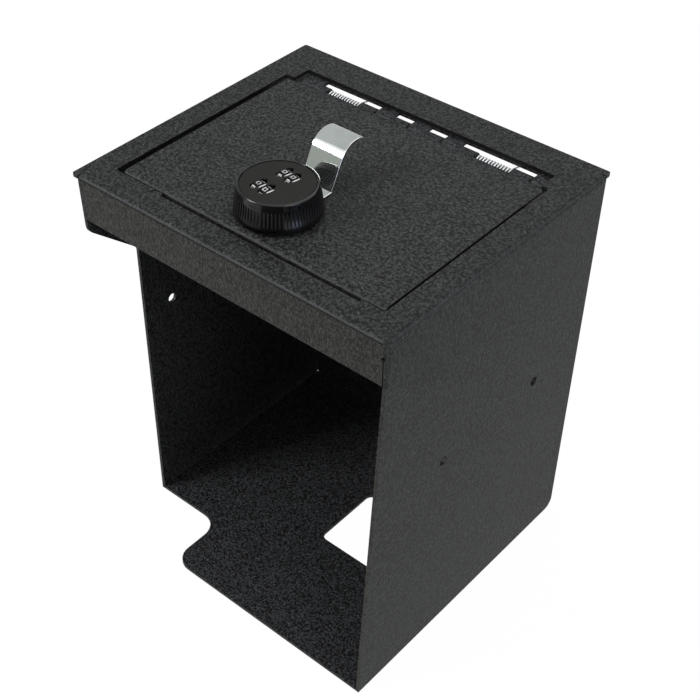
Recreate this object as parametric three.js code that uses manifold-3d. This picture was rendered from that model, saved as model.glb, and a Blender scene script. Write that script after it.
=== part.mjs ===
import * as THREE from 'three';
import { mergeVertices } from 'three/addons/utils/BufferGeometryUtils.js';
import Module from 'manifold-3d';

// A sheet-steel safe that stands in a vehicle's centre console: top frame with a hinged lid,
// combination knob and finger pull. Millimetres, +X right, -Y front, +Z up, origin under the middle.

// Driving dimensions of the case
const overallWidth = 228;
const topDepth = 198;
const overallHeight = 268;
const frontReach = 14;
const sheet = 2.3;
const bendInner = 1;
const skirtHeight = 28.5;
const leftOverhang = 4.5;
const leftTaper = 8.5;
const rearOverhang = 4.2;
const rearPanelHeight = 232;
const seatGap = 0.3;
// How far a cutting solid passes the face that it cuts
const overcut = 1;

// Stepped front of the left wall, measured from the skirt's face and from the top
const stepBack = 34.4;
const stepDrop = 66.5;
const stepRadius = 4;
const tabDrop = 36.7;
const tabRadius = 7;
const footSetback = 28;
const wallHeelRadius = 7;

// Floor outline
const floorStepX = 68.5;
const floorStepInnerRadius = 14;
const floorStepOuterRadius = 12;
const portX = 129;
const portFront = 65;
const portLength = 53;
const portRadius = 5;

// Holes in the side walls for the fixing screws
const wallHoleRadius = 3.2;
const wallHoleFront = 56;
const wallHoleSpacing = 89;
const wallHoleHeight = 147;
const leftHoleRise = 4;

// Rims round the lid opening
const rimLeft = 16.5;
const rimRight = 16.8;
const rimFront = 18.5;
const rimRear = 23.4;
const openingRadius = 1.5;
const gripRecessDepth = 2;
const gripRecessStart = 38;
const gripRecessLength = 142;
const shoulderLeft = 6.5;
const shoulderRight = 4.7;
const hingePocketDepth = 13.3;

// Corner seam between skirt and right wall
const seamWidth = 0.6;
const seamTopDrop = 11;
const seamHoleRadius = 1.2;
const cornerRadius = 3;

// Lid
const lidGapLeft = 4.3;
const lidGapRight = 1.4;
const lidGapFront = 1.5;
const lidFlange = 9.5;
const lidCornerRadius = 1.5;

// Hinge: two leaves rolled round one rod, one under the frame and one under the lid
const rodRadius = 1.5;
const rodPlay = 0.2;
const leafSheet = 1.8;
const rodSetback = 6.4;
const lidEdgeSetback = 10.4;
const leafWidth = 14;
const lidLeafWidth = 20;
const leafEndGap = 0.9;
const swingRelief = 1;
const firstTab = 16.1;
const leftSpringBay = 44;
const knuckle = 12.4;
const rightSpringBay = 50.2;
const lastTab = 9.4;
const sideClearance = 0.4;
const curlTurn = 285;
const curlStep = 20;
const rodOverrun = 1.5;

// Torsion springs
const springTurns = 11;
const springPitch = 2.03;
const springWire = 1.1;
const springPlay = 0.15;
const springInsets = [7.4, 13.1];
const springSideGap = 1;
const rearLegLength = 18;
const lidLegLength = 14;

// Rest strips and latch striker under the frame
const restOverlap = 5;
const restLap = 6;
const restFront = 40;
const restLength = 104;
const strikerLength = 60;
const strikerReach = 10;

// Lock on the lid
const lockFromLeft = 113.5;
const lockSetback = 48;
const knobTurnAtRest = -11;
const barrelRadius = 9.5;
const barrelFlat = 8.2;
const barrelLength = 15.1;
const fitClearance = 0.3;
const flangeRadius = 19;
const flangeThickness = 0.9;
const knobTop = 18.8;
const knobBaseRadius = 25;
const knobShoulderRadius = 23.1;
const knobTopRadius = 21.6;
const knobShoulderDrop = 3.4;
const knobEdge = 0.4;
const ribFoot = 4.4;
const ribHeadDrop = 3.8;
const ribCount = 80;
const ribDepth = 0.5;
const facePlate = 1;
const faceRadius = 20.7;
const faceDrop = 0.3;
const faceSides = 64;
const wheelRadius = 7;
const wheelWidth = 3.8;
const wheelBore = 1.6;
const wheelShow = 0.4;
const wheelShift = -2;
const wheelPitchX = 7;
const wheelPitchY = 17.2;
const windowLength = 11.6;
const windowWidth = 4.4;
const pocketClearance = 0.4;
const axleRadius = 1.4;
const axleSeat = 2.5;
const pinholeRadius = 0.7;
const pinholeAngle = -8;
const pinholeDrop = 3;
const pinholeDepth = 1;
const spindleRadius = 5.1;
const spindleNeck = 2;
const spindleNeckLength = 4.5;
const spindleSquare = 7;
const nutAcrossFlats = 24;
const nutHeight = 4;
const washerRadius = 13;
const washerThickness = 1;
const camThickness = 2.5;
const camLength = 40;
const camWidth = 16;
const camWasherRadius = 6.5;
const screwHeadRadius = 4.6;
const screwHeadHeight = 3;
const screwRadius = 2.4;
const screwLength = 8;

// Finger pull
const pullThickness = 1;
const pullWidth = 22;
const pullFold = 31.2;
const pullLean = 62.5;
const pullSlant = 18.2;
const pullCurlRadius = 13.3;
const pullCurlTurn = 104;
const pullTip = 2.5;
const pullBendStep = 6.5;
const pullFoldRadius = 1.2;
const pullFootEnd = 2;

// Places worked out from the dimensions above
const leftX = -overallWidth / 2;
const rightX = overallWidth / 2;
const footFrontY = -(topDepth + frontReach) / 2;
const faceY = footFrontY + frontReach;
const plateRearY = faceY + topDepth;
const wallRearY = plateRearY - rearOverhang;
const topZ = overallHeight;
const underTopZ = topZ - sheet;
const skirtBottomZ = topZ - skirtHeight;
const bendOuter = bendInner + sheet;
const rightInnerX = rightX - sheet;
const openLeftX = leftX + rimLeft;
const openRightX = rightX - rimRight;
const openFrontY = faceY + rimFront;
const openRearY = plateRearY - rimRear;
const pocketFrontY = openRearY - hingePocketDepth;
const pocketLeftX = openLeftX + shoulderLeft;
const pocketRightX = openRightX - shoulderRight;
const lidLeftX = openLeftX + lidGapLeft;
const lidRightX = openRightX - lidGapRight;
const lidFrontY = openFrontY + lidGapFront;
const knuckleRadius = rodRadius + rodPlay + leafSheet;
const leafTopZ = underTopZ - seatGap;
const leafBottomZ = leafTopZ - leafSheet;
const rodY = openRearY - rodSetback;
const rodZ = leafTopZ - knuckleRadius;
const lidRearY = rodY - lidEdgeSetback;
const reliefReach = knuckleRadius + swingRelief;
const lockX = leftX + lockFromLeft;
const lockY = faceY + lockSetback;
const wheelPlaces = [wheelShift - wheelPitchX / 2, wheelShift + wheelPitchX / 2];

const wasm = await Module();
wasm.setup();
const { Manifold, Mesh } = wasm;

const radians = THREE.MathUtils.degToRad;

/** Turns a closed geometry into a solid for joining and cutting. */
function solid(geometry) {
  const bare = geometry.index ? geometry.toNonIndexed() : geometry.clone();
  bare.deleteAttribute('normal');
  bare.deleteAttribute('uv');
  const merged = mergeVertices(bare, 1e-4);
  const index = merged.index.array;
  const triangles = [];
  for (let i = 0; i < index.length; i += 3) {
    const [a, b, c] = [index[i], index[i + 1], index[i + 2]];
    if (a !== b && b !== c && c !== a) triangles.push(a, b, c);
  }
  return new Manifold(new Mesh({
    numProp: 3,
    vertProperties: new Float32Array(merged.attributes.position.array),
    triVerts: new Uint32Array(triangles),
  }));
}

/** Gives a solid's surface back as a geometry. */
function geometryOf(body) {
  const { vertProperties, triVerts } = body.getMesh();
  const geometry = new THREE.BufferGeometry();
  geometry.setAttribute('position', new THREE.BufferAttribute(new Float32Array(vertProperties), 3));
  geometry.setIndex(new THREE.BufferAttribute(new Uint32Array(triVerts), 1));
  geometry.computeVertexNormals();
  return geometry;
}

/** Extrudes a closed outline of Vector2 points into geometry from z = 0 to z = depth. */
function extrude(outline, depth, holes = []) {
  const shape = new THREE.Shape(outline);
  shape.holes = holes.map((hole) => new THREE.Path(hole));
  return new THREE.ExtrudeGeometry(shape, { depth, bevelEnabled: false });
}

/** Prism standing along Z; the outline is in x, y. */
function prismZ(outline, z0, z1, holes = []) {
  return solid(extrude(outline, z1 - z0, holes).translate(0, 0, z0));
}

/** Prism lying along X; the outline is in y, z. */
function prismX(outline, x0, x1) {
  const geometry = extrude(outline, x1 - x0);
  geometry.applyMatrix4(new THREE.Matrix4().set(0, 0, 1, x0, 1, 0, 0, 0, 0, 1, 0, 0, 0, 0, 0, 1));
  return solid(geometry);
}

/** Prism lying along Y; the outline is in x, z. */
function prismY(outline, y0, y1) {
  const geometry = extrude(outline, y1 - y0);
  geometry.applyMatrix4(new THREE.Matrix4().set(1, 0, 0, 0, 0, 0, -1, y1, 0, 1, 0, 0, 0, 0, 0, 1));
  return solid(geometry);
}

/** Box between two corners. */
function box(x0, x1, y0, y1, z0, z1) {
  const geometry = new THREE.BoxGeometry(x1 - x0, y1 - y0, z1 - z0);
  return solid(geometry.translate((x0 + x1) / 2, (y0 + y1) / 2, (z0 + z1) / 2));
}

/** Upright cylinder from z0 to z1. */
function post(radius, z0, z1, sides = 40) {
  const geometry = new THREE.CylinderGeometry(radius, radius, z1 - z0, sides);
  return solid(geometry.rotateX(Math.PI / 2).translate(0, 0, (z0 + z1) / 2));
}

/** Cylinder lying along X from x0 to x1. */
function barX(radius, x0, x1, y, z, sides = 24) {
  const geometry = new THREE.CylinderGeometry(radius, radius, x1 - x0, sides);
  return solid(geometry.rotateZ(Math.PI / 2).translate((x0 + x1) / 2, y, z));
}

/** Closed outline with each corner [a, b, radius] rounded by an arc. */
function roundedOutline(corners, stepsPerArc = 5) {
  const points = [];
  corners.forEach(([a, b, radius = 0], i) => {
    const corner = new THREE.Vector2(a, b);
    if (radius === 0) {
      points.push(corner);
      return;
    }
    const [pa, pb] = corners[(i + corners.length - 1) % corners.length];
    const [na, nb] = corners[(i + 1) % corners.length];
    const toPrevious = new THREE.Vector2(pa, pb).sub(corner).normalize();
    const toNext = new THREE.Vector2(na, nb).sub(corner).normalize();
    const half = Math.acos(THREE.MathUtils.clamp(toPrevious.dot(toNext), -1, 1)) / 2;
    const middle = toPrevious.clone().add(toNext).normalize();
    const centre = corner.clone().addScaledVector(middle, radius / Math.sin(half));
    const start = corner.clone().addScaledVector(toPrevious, radius / Math.tan(half)).sub(centre);
    const sweep = (Math.PI - 2 * half) * Math.sign(toPrevious.cross(toNext)) * -1;
    for (let step = 0; step <= stepsPerArc; step += 1) {
      const arm = start.clone().rotateAround(new THREE.Vector2(), (sweep * step) / stepsPerArc);
      points.push(centre.clone().add(arm));
    }
  });
  return points.filter((point, i) => point.distanceTo(points[(i + 1) % points.length]) > 1e-4);
}

/** Outline of a bent strip: its middle line starts at a, b with a heading and follows the steps. */
function bentStrip([a, b], heading, steps, thickness, degreesPerStep = 15) {
  const left = [];
  const right = [];
  const at = new THREE.Vector2(a, b);
  let direction = radians(heading);
  const mark = () => {
    const side = new THREE.Vector2(-Math.sin(direction), Math.cos(direction)).multiplyScalar(thickness / 2);
    left.push(at.clone().add(side));
    right.unshift(at.clone().sub(side));
  };
  mark();
  for (const { run = 0, turn = 0, radius = 0 } of steps) {
    if (run) {
      at.add(new THREE.Vector2(Math.cos(direction), Math.sin(direction)).multiplyScalar(run));
      mark();
    }
    const count = Math.max(1, Math.ceil(Math.abs(turn) / degreesPerStep));
    for (let i = 0; turn && i < count; i += 1) {
      const delta = radians(turn) / count;
      const chord = 2 * radius * Math.sin(Math.abs(delta) / 2);
      direction += delta / 2;
      at.add(new THREE.Vector2(Math.cos(direction), Math.sin(direction)).multiplyScalar(chord));
      direction += delta / 2;
      mark();
    }
  }
  return right.concat(left);
}

/** Left wall's outer face at height z: it leans inwards towards the foot. */
function leftFaceX(z) {
  return leftX + leftOverhang + (leftTaper * (topZ - z)) / topZ;
}

/** Outline in x, z of the leaning slab between two depths behind the left wall's outer face. */
function leaningSlab(from, to, z0, z1) {
  return [
    new THREE.Vector2(leftFaceX(z0) + from, z0),
    new THREE.Vector2(leftFaceX(z0) + to, z0),
    new THREE.Vector2(leftFaceX(z1) + to, z1),
    new THREE.Vector2(leftFaceX(z1) + from, z1),
  ];
}

// Materials
const coat = { color: 0x3b3d3e, roughness: 0.72, metalness: 0.1 };
const innerCoat = { color: 0x2c2d2e, roughness: 0.8, metalness: 0.1 };
const chrome = { color: 0xd9dbdc, roughness: 0.12, metalness: 1 };
const steel = { color: 0xa9abad, roughness: 0.35, metalness: 0.9 };
const glossBlack = { color: 0x0c0c0d, roughness: 0.22, metalness: 0.1 };
const mattBlack = { color: 0x2b2a28, roughness: 0.6, metalness: 0 };
const wheelBlack = { color: 0x111111, roughness: 0.45, metalness: 0 };

/** Named mesh with a material of its own. */
function part(name, geometry, look) {
  const mesh = new THREE.Mesh(geometry, new THREE.MeshStandardMaterial(look));
  mesh.name = name;
  return mesh;
}

// Top frame, front skirt and right wall, folded from one sheet
function topShell() {
  const lip = bendOuter;
  const plate = prismZ(roundedOutline([
    [leftX, faceY, openingRadius],
    [leftX + leftOverhang, faceY],
    [leftX + leftOverhang, faceY + lip],
    [rightX - lip, faceY + lip],
    [rightX - lip, wallRearY],
    [rightX, wallRearY],
    [rightX, plateRearY, openingRadius],
    [leftX, plateRearY, openingRadius],
  ]), underTopZ, topZ);
  const skirtFold = prismX(bentStrip(
    [faceY + lip, topZ - sheet / 2],
    180,
    [{ turn: 90, radius: bendInner + sheet / 2 }, { run: skirtHeight - bendOuter }],
    sheet,
  ), leftX + leftOverhang, rightX);
  const wallFold = prismY(bentStrip(
    [rightX - lip, topZ - sheet / 2],
    0,
    [{ turn: -90, radius: bendInner + sheet / 2 }, { run: topZ - bendOuter }],
    sheet,
  ), footFrontY, wallRearY);
  const wallOutline = prismX(roundedOutline([
    [footFrontY, 0],
    [wallRearY, 0, wallHeelRadius],
    [wallRearY, topZ],
    [faceY, topZ],
    [faceY, skirtBottomZ],
  ]), rightX - 2 * lip, rightX);
  const corner = prismZ(roundedOutline([
    [leftX, footFrontY - overcut],
    [rightX - lip, footFrontY - overcut],
    [rightX - lip, faceY],
    [rightX, faceY, cornerRadius],
    [rightX, plateRearY],
    [leftX, plateRearY],
  ]), skirtBottomZ, topZ);
  const below = box(leftX, rightX, footFrontY, plateRearY, 0, skirtBottomZ);
  const opening = prismZ(roundedOutline([
    [openLeftX, openFrontY, openingRadius],
    [openLeftX + gripRecessStart, openFrontY, openingRadius],
    [openLeftX + gripRecessStart, openFrontY - gripRecessDepth, openingRadius / 2],
    [openLeftX + gripRecessStart + gripRecessLength, openFrontY - gripRecessDepth, openingRadius / 2],
    [openLeftX + gripRecessStart + gripRecessLength, openFrontY, openingRadius / 2],
    [openRightX, openFrontY, openingRadius],
    [openRightX, pocketFrontY, openingRadius],
    [pocketRightX, pocketFrontY],
    [pocketRightX, openRearY, openingRadius],
    [pocketLeftX, openRearY, openingRadius],
    [pocketLeftX, pocketFrontY],
    [openLeftX, pocketFrontY, openingRadius],
  ], 4), underTopZ - overcut, topZ + overcut);
  const wallRoom = leaningSlab(-leftOverhang - overcut, sheet + seatGap, 0, underTopZ);
  const leftWallRoom = prismY(wallRoom, faceY - overcut, plateRearY);
  const seamX = rightInnerX - seamWidth;
  const seam = box(
    seamX, rightInnerX,
    faceY - overcut, faceY + sheet,
    skirtBottomZ - overcut, topZ - seamTopDrop,
  );
  const seamHole = post(seamHoleRadius, -lip, lip, 12).rotate([90, 0, 0])
    .translate([seamX, faceY, topZ - seamTopDrop]);
  let shell = plate.add(skirtFold).add(wallFold.intersect(wallOutline));
  shell = shell.intersect(corner.add(below));
  shell = shell.subtract(opening).subtract(leftWallRoom).subtract(seam).subtract(seamHole);
  for (const y of [wallHoleFront, wallHoleFront + wallHoleSpacing]) {
    const hole = barX(wallHoleRadius, rightInnerX - overcut, rightX + overcut, faceY + y, wallHoleHeight);
    shell = shell.subtract(hole);
  }
  return part('top_shell', geometryOf(shell), coat);
}

// Left wall: full depth at the head, stepped back below
function leftWall() {
  const headZ = underTopZ - seatGap;
  const outline = prismX(roundedOutline([
    [faceY + footSetback, 0],
    [wallRearY, 0, wallHeelRadius],
    [wallRearY, headZ],
    [faceY, headZ],
    [faceY, topZ - tabDrop, tabRadius],
    [faceY + stepBack, topZ - stepDrop, stepRadius],
  ]), leftX, leftX + rimLeft + leftTaper);
  let wall = outline.intersect(prismY(leaningSlab(0, sheet, 0, topZ), faceY, plateRearY));
  for (const y of [wallHoleFront, wallHoleFront + wallHoleSpacing]) {
    const height = wallHoleHeight + leftHoleRise;
    wall = wall.subtract(barX(wallHoleRadius, leftX, leftX + rimLeft + leftTaper, faceY + y, height));
  }
  return part('left_wall', geometryOf(wall), coat);
}

// Floor: stepped front-left corner and a port beside the right wall
function floorPanel() {
  const innerLeft = leftFaceX(0) + sheet + seatGap;
  const innerRight = rightInnerX - seatGap;
  const outline = roundedOutline([
    [innerLeft, faceY + footSetback],
    [leftX + floorStepX, faceY + footSetback, floorStepInnerRadius],
    [leftX + floorStepX, footFrontY, floorStepOuterRadius],
    [innerRight, footFrontY],
    [innerRight, faceY + portFront],
    [leftX + portX, faceY + portFront, portRadius],
    [leftX + portX, faceY + portFront + portLength, portRadius],
    [innerRight, faceY + portFront + portLength],
    [innerRight, wallRearY],
    [innerLeft, wallRearY],
  ], 7);
  return part('floor_panel', geometryOf(prismZ(outline, 0, sheet)), innerCoat);
}

// Rear panel: stands on the floor between the walls and leaves the top open behind the hinge
function rearPanel() {
  const z0 = sheet + seatGap;
  const inner = sheet + seatGap;
  const outline = [
    new THREE.Vector2(leftFaceX(z0) + inner, z0),
    new THREE.Vector2(rightInnerX - seatGap, z0),
    new THREE.Vector2(rightInnerX - seatGap, rearPanelHeight),
    new THREE.Vector2(leftFaceX(rearPanelHeight) + inner, rearPanelHeight),
  ];
  return part('rear_panel', geometryOf(prismY(outline, wallRearY - sheet, wallRearY)), innerCoat);
}

// Hinge bays along the rod: frame tabs and lid knuckles by turns, spread over the pocket's length
const knuckles = [knuckle, knuckle, knuckle, knuckle, knuckle];
const bayWidths = [firstTab, leftSpringBay, ...knuckles, rightSpringBay, lastTab];
const hingeLength = pocketRightX - pocketLeftX - 2 * leafEndGap;
const baySpread = hingeLength / bayWidths.reduce((sum, width) => sum + width, 0);

function hingeBays() {
  let x = pocketLeftX + leafEndGap;
  return bayWidths.map((width, i) => {
    const x0 = x;
    x += width * baySpread;
    return { onLid: i % 2 === 1, x0, x1: x };
  });
}

const bays = hingeBays();
const lidBays = bays.filter((bay) => bay.onLid);
const frameBays = bays.filter((bay) => !bay.onLid);
const springBays = [lidBays[0], lidBays[lidBays.length - 1]];
const coilLength = springTurns * springPitch;
const springCoils = springBays.map((bay, i) => {
  const x0 = bay.x0 + springInsets[i] * baySpread;
  return { x0, x1: x0 + coilLength };
});

/** Outline in y, z of a leaf: flat from its free edge to the rod, then rolled round it. */
function rolledLeaf(flatLength, side) {
  return bentStrip(
    [rodY + side * flatLength, leafTopZ - leafSheet / 2],
    side > 0 ? 180 : 0,
    [{ run: flatLength }, { turn: side * curlTurn, radius: knuckleRadius - leafSheet / 2 }],
    leafSheet,
    curlStep,
  );
}

/** One hinge leaf: rolled round the rod, and cut back from it in the other leaf's bays. */
function rolledBays(otherBays, flatLength, side, cutBack) {
  const x0 = bays[0].x0;
  const x1 = bays[bays.length - 1].x1;
  const over = knuckleRadius + overcut;
  const [y0, y1] = side > 0 ? [-over, cutBack] : [-cutBack, over];
  let leaf = prismX(rolledLeaf(flatLength, side), x0, x1);
  for (const bay of otherBays) {
    const left = bay.x0 === x0 ? x0 - overcut : bay.x0 - sideClearance / 2;
    const right = bay.x1 === x1 ? x1 + overcut : bay.x1 + sideClearance / 2;
    leaf = leaf.subtract(box(left, right, rodY + y0, rodY + y1, rodZ - over, topZ));
  }
  return leaf;
}

// Hinge leaf under the frame: five tabs reach forward to the rod
function hingeLeaf() {
  const leaf = rolledBays(lidBays, rodSetback + leafWidth, 1, rodSetback);
  return part('hinge_leaf', geometryOf(leaf), coat);
}

// Hinge leaf under the lid, notched round each spring
function lidHingeLeaf() {
  let leaf = rolledBays(frameBays, lidLeafWidth, -1, reliefReach);
  for (const coil of springCoils) {
    const x0 = coil.x0 - springWire / 2 - springSideGap;
    const x1 = coil.x1 + springWire / 2 + springSideGap;
    const y1 = rodY + knuckleRadius + overcut;
    leaf = leaf.subtract(box(x0, x1, rodY - reliefReach, y1, rodZ - knuckleRadius - overcut, topZ));
  }
  return part('lid_hinge_leaf', geometryOf(leaf), coat);
}

// Lid: one sheet with a front flange, its rear edge straight behind the knuckles
function lidPanel() {
  const bend = bendInner + sheet / 2;
  const lid = prismX(bentStrip(
    [lidFrontY + sheet / 2, topZ - lidFlange],
    90,
    [
      { run: lidFlange - bendOuter },
      { turn: -90, radius: bend },
      { run: lidRearY - lidFrontY - bendOuter },
    ],
    sheet,
  ), lidLeftX, lidRightX);
  const plan = prismZ(roundedOutline([
    [lidLeftX, lidFrontY, lidCornerRadius],
    [lidRightX, lidFrontY, lidCornerRadius],
    [lidRightX, lidRearY, lidCornerRadius],
    [lidLeftX, lidRearY, lidCornerRadius],
  ]), topZ - lidFlange - overcut, topZ + overcut);
  const hole = doubleD(fitClearance, underTopZ - overcut, topZ + overcut).translate([lockX, lockY, 0]);
  return part('lid_panel', geometryOf(lid.intersect(plan).subtract(hole)), coat);
}

/** Barrel section with two flats, grown by a clearance. */
function doubleD(clearance, z0, z1) {
  const flat = barrelFlat + clearance;
  const wide = barrelRadius + clearance + overcut;
  const flats = box(-flat, flat, -wide, wide, z0 - overcut, z1 + overcut);
  return post(barrelRadius + clearance, z0, z1).intersect(flats);
}

function hingeRod() {
  const x0 = frameBays[0].x0 - rodOverrun + leafEndGap;
  const x1 = frameBays[frameBays.length - 1].x1 + rodOverrun;
  return part('hinge_rod', geometryOf(barX(rodRadius, x0, x1, rodY, rodZ)), steel);
}

// Torsion springs: one unbroken wire with a coil round the rod, a rear leg under the frame's leaf
// and a front leg under the lid's leaf
const coilSteps = 8;
const wireSides = 5;
const turn = 2 * Math.PI;
const coilRadius = (rodRadius + springPlay + springWire / 2) / Math.cos(turn / coilSteps / 2);
const legZ = leafBottomZ - seatGap - springWire / 2 - rodZ;

/** Slope of a straight leg that leaves the coil's upper side and passes y, z (from the rod). */
function legSlope(y, z) {
  const opening = Math.asin(coilRadius / Math.hypot(y, z));
  return y > 0 ? Math.atan2(z, y) - opening : Math.atan2(z, y) - Math.PI + opening;
}

/** Middle line of a spring whose coil starts at x = 0 and winds round y = z = 0. */
function springPath() {
  const lidSlope = legSlope(-reliefReach, legZ);
  const rearSlope = legSlope(rodSetback, legZ);
  const sweep = springTurns * turn + lidSlope - rearSlope;
  const steps = Math.round((sweep / turn) * coilSteps);
  const path = [];
  for (let i = 0; i <= steps; i += 1) {
    const angle = turn / 4 + lidSlope - (sweep * i) / steps;
    const [y, z] = [coilRadius * Math.cos(angle), coilRadius * Math.sin(angle)];
    path.push(new THREE.Vector3((coilLength * i) / steps, y, z));
  }
  const leg = (from, slope, run) => {
    const step = new THREE.Vector3(0, Math.cos(slope), Math.sin(slope));
    return from.clone().addScaledVector(step, run);
  };
  const first = path[0];
  const last = path[path.length - 1];
  path.unshift(leg(first, lidSlope, -lidLegLength), leg(first, lidSlope, -springWire));
  path.push(leg(last, rearSlope, springWire), leg(last, rearSlope, rearLegLength));
  return path;
}

/** Round wire along a path: a ring of points at each path point, closed at both ends. */
function wire(path, radius) {
  const positions = [];
  const index = [];
  const side = new THREE.Vector3(1, 0, 0);
  path.forEach((point, i) => {
    const ahead = path[Math.min(i + 1, path.length - 1)];
    const behind = path[Math.max(i - 1, 0)];
    const tangent = ahead.clone().sub(behind).normalize();
    const across = side.clone().addScaledVector(tangent, -side.dot(tangent)).normalize();
    const up = tangent.clone().cross(across);
    for (let k = 0; k < wireSides; k += 1) {
      const a = (turn * k) / wireSides;
      const rim = point.clone()
        .addScaledVector(across, radius * Math.cos(a))
        .addScaledVector(up, radius * Math.sin(a));
      positions.push(rim.x, rim.y, rim.z);
    }
  });
  for (let i = 0; i + 1 < path.length; i += 1) {
    for (let k = 0; k < wireSides; k += 1) {
      const a = i * wireSides + k;
      const b = i * wireSides + ((k + 1) % wireSides);
      index.push(a, b, b + wireSides, a, b + wireSides, a + wireSides);
    }
  }
  const last = (path.length - 1) * wireSides;
  for (let k = 1; k + 1 < wireSides; k += 1) {
    index.push(0, k + 1, k);
    index.push(last, last + k, last + k + 1);
  }
  const geometry = new THREE.BufferGeometry();
  geometry.setAttribute('position', new THREE.BufferAttribute(new Float32Array(positions), 3));
  geometry.setIndex(index);
  return geometry;
}

/** Least gap between two stretches of a wire that lie more than half a turn apart. */
function leastGap(path, diameter) {
  const fine = new THREE.CatmullRomCurve3(path, false, 'centripetal').getSpacedPoints(path.length * 6);
  const skip = Math.ceil((Math.PI * coilRadius) / fine[0].distanceTo(fine[1]));
  let least = Infinity;
  for (let i = 0; i < fine.length; i += 1) {
    for (let j = i + skip; j < fine.length; j += 1) least = Math.min(least, fine[i].distanceTo(fine[j]));
  }
  return least - diameter;
}

function torsionSpring(name, x) {
  const geometry = wire(springPath(), springWire / 2).translate(x, rodY, rodZ);
  return part(name, geometryOf(solid(geometry)), steel);
}

// Strips under the frame that the closed lid lies on
function lidRest(name, x0, x1) {
  const z1 = underTopZ - seatGap;
  const y0 = faceY + restFront;
  return part(name, geometryOf(box(x0, x1, y0, y0 + restLength, z1 - sheet, z1)), innerCoat);
}

// Lock heights, measured from the lid's face
const pullZ = topZ + seatGap;
const flangeZ = pullZ + pullThickness + fitClearance / 2;
const recessZ = flangeZ + flangeThickness + fitClearance;
const knobBottomZ = pullZ + pullThickness + seatGap;
const knobTopZ = topZ + knobTop;
const barrelBottomZ = flangeZ - barrelLength;
const faceZ = knobTopZ - faceDrop - facePlate;
const wheelZ = knobTopZ - faceDrop + wheelShow - wheelRadius;
const camTopZ = barrelBottomZ - seatGap;
const camBottomZ = camTopZ - camThickness;

// Striker angle behind the skirt: the turned cam hooks under its ledge
function latchStriker() {
  const y0 = faceY + sheet + seatGap;
  const ledgeZ = camTopZ + seatGap + fitClearance;
  const z1 = underTopZ - seatGap;
  const x0 = lockX - strikerLength / 2;
  const bend = bendInner + sheet / 2;
  const profile = bentStrip(
    [y0 + sheet / 2, z1],
    -90,
    [
      { run: z1 - ledgeZ - bendOuter },
      { turn: 90, radius: bend },
      { run: strikerReach },
    ],
    sheet,
  );
  return part('latch_striker', geometryOf(prismX(profile, x0, x0 + strikerLength)), innerCoat);
}

// Finger pull: foot clamped under the lock, slanted blade, curled tip
function pullTab() {
  const foot = pullWidth / 2 + pullFootEnd;
  const profile = bentStrip(
    [lockY - foot, pullZ + pullThickness / 2],
    0,
    [
      { run: foot + pullFold - pullFoldRadius },
      { turn: pullLean, radius: pullFoldRadius },
      { run: pullSlant },
      { turn: -pullCurlTurn, radius: pullCurlRadius },
      { run: pullTip },
    ],
    pullThickness,
    pullBendStep,
  );
  const x0 = lockX - pullWidth / 2;
  const x1 = lockX + pullWidth / 2;
  const strip = prismX(profile, x0, x1);
  const tipY = lockY + pullFold + pullSlant + 2 * pullCurlRadius;
  const plan = prismZ(roundedOutline([
    [x0, lockY - foot, pullWidth / 2],
    [x1, lockY - foot, pullWidth / 2],
    [x1, tipY],
    [x0, tipY],
  ], 8), topZ, knobTopZ + pullSlant);
  const hole = doubleD(fitClearance, topZ - overcut, pullZ + pullThickness + overcut)
    .translate([lockX, lockY, 0]);
  return part('pull_tab', geometryOf(strip.intersect(plan).subtract(hole)), chrome);
}

// Lock housing: thin flange on the pull's foot and a flatted barrel through the lid
function lockHousing() {
  const flange = post(flangeRadius, flangeZ, flangeZ + flangeThickness, 48);
  const body = flange.add(doubleD(0, barrelBottomZ, flangeZ + flangeThickness / 2));
  const bore = post(spindleRadius + fitClearance, barrelBottomZ - overcut, recessZ, 32);
  return part('lock_housing', geometryOf(body.subtract(bore)), steel);
}

function lockWasher() {
  const z1 = underTopZ - seatGap;
  const z0 = z1 - washerThickness;
  const bore = post(barrelRadius + fitClearance, z0 - overcut, z1 + overcut);
  return part('lock_washer', geometryOf(post(washerRadius, z0, z1).subtract(bore)), steel);
}

function lockNut() {
  const z1 = underTopZ - washerThickness - 2 * seatGap;
  const hex = post(nutAcrossFlats / Math.sqrt(3), z1 - nutHeight, z1, 6);
  const bore = post(barrelRadius + fitClearance, z1 - nutHeight - overcut, z1 + overcut);
  return part('lock_nut', geometryOf(hex.subtract(bore)), steel);
}

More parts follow.
